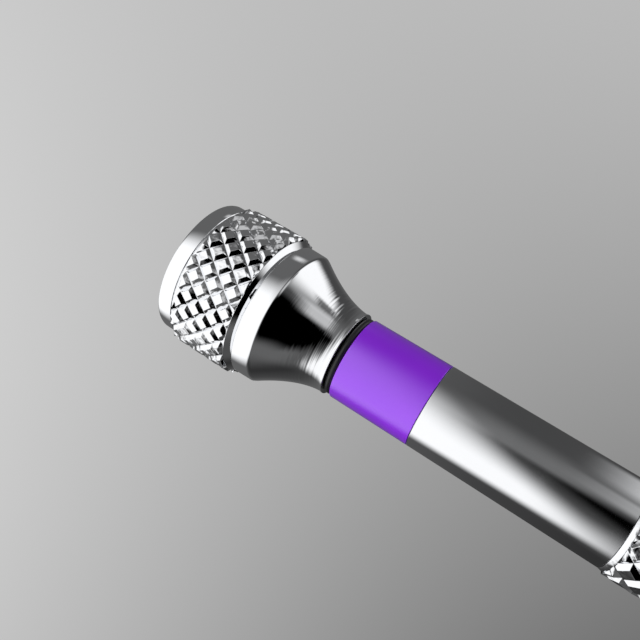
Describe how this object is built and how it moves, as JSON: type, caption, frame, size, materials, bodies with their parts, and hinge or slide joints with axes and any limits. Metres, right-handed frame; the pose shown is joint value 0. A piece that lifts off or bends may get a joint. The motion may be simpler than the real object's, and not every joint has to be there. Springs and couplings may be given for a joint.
{
  "type": "twist-to-open safety razor",
  "caption": "Twist-to-open double-edge safety razor: turning the knurled knob lifts an inner rod that swings two arched doors open over the blade bar.",
  "frame": {"origin": "centre of the flat end face of the twist knob, on which the razor stands", "axes": "+Z along the handle from the knob to the head, +X along the blade, +Y towards the front door"},
  "size_m": [0.0446, 0.0244, 0.101],
  "materials": {
    "chrome_plate": "mirror-polished chrome plating",
    "bare_steel": "plain turned or rolled steel",
    "brass": "plain turned brass",
    "seal_rubber": "smooth black rubber",
    "band_lacquer": "satin purple lacquer"
  },
  "bodies": {
    "handle": {"spindle_bush": "brass", "seal_ring": "seal_rubber", "colour_band": "band_lacquer", "handle_tube": "chrome_plate", "grip_sleeve": "chrome_plate", "head_collar": "chrome_plate", "base_plate": "chrome_plate", "blade_bar": "chrome_plate", "blade_stud_left": "bare_steel", "blade_stud_right": "bare_steel", "end_bracket_left": "chrome_plate", "end_bracket_right": "chrome_plate", "bracket_rivet_left_back": "bare_steel", "bracket_rivet_left_front": "bare_steel", "bracket_rivet_right_back": "bare_steel", "bracket_rivet_right_front": "bare_steel", "hinge_pin_left_back": "bare_steel", "hinge_pin_left_front": "bare_steel", "hinge_pin_right_back": "bare_steel", "hinge_pin_right_front": "bare_steel"},
    "knob": {"knob_end_cap": "chrome_plate", "twist_knob": "chrome_plate", "knob_screw": "bare_steel", "drive_screw": "bare_steel", "thrust_washer": "brass"},
    "lifter": {"lift_nut": "brass", "lift_rod": "bare_steel", "lift_yoke": "bare_steel", "yoke_screw": "bare_steel", "lift_pin_left_back": "bare_steel", "lift_pin_left_front": "bare_steel", "lift_pin_right_back": "bare_steel", "lift_pin_right_front": "bare_steel"},
    "door_front": {"door_front": "chrome_plate"},
    "door_back": {"door_back": "chrome_plate"}
  },
  "joints": [
    {"name": "knob_turn", "type": "hinge", "parent": "handle", "child": "knob", "pos_m": [0, 0, 0], "axis": [0, 0, -1], "range_deg": [0, 541]},
    {"name": "rod_lift", "type": "slide", "parent": "handle", "child": "lifter", "axis": [0, 0, 1], "range_m": [0, 0.0021]},
    {"name": "front_door_swing", "type": "hinge", "parent": "handle", "child": "door_front", "pos_m": [0, 0.0097, 0.09639], "axis": [-1, 0, 0], "range_deg": [0, 80.2]},
    {"name": "back_door_swing", "type": "hinge", "parent": "handle", "child": "door_back", "pos_m": [0, -0.0097, 0.09639], "axis": [1, 0, 0], "range_deg": [0, 80.2]}
  ],
  "couplings": [
    {"joint": "knob_turn", "follows": "rod_lift", "rad_per_m": 4488},
    {"joint": "front_door_swing", "follows": "rod_lift", "rad_per_m": 664.89},
    {"joint": "back_door_swing", "follows": "rod_lift", "rad_per_m": 664.89}
  ]
}
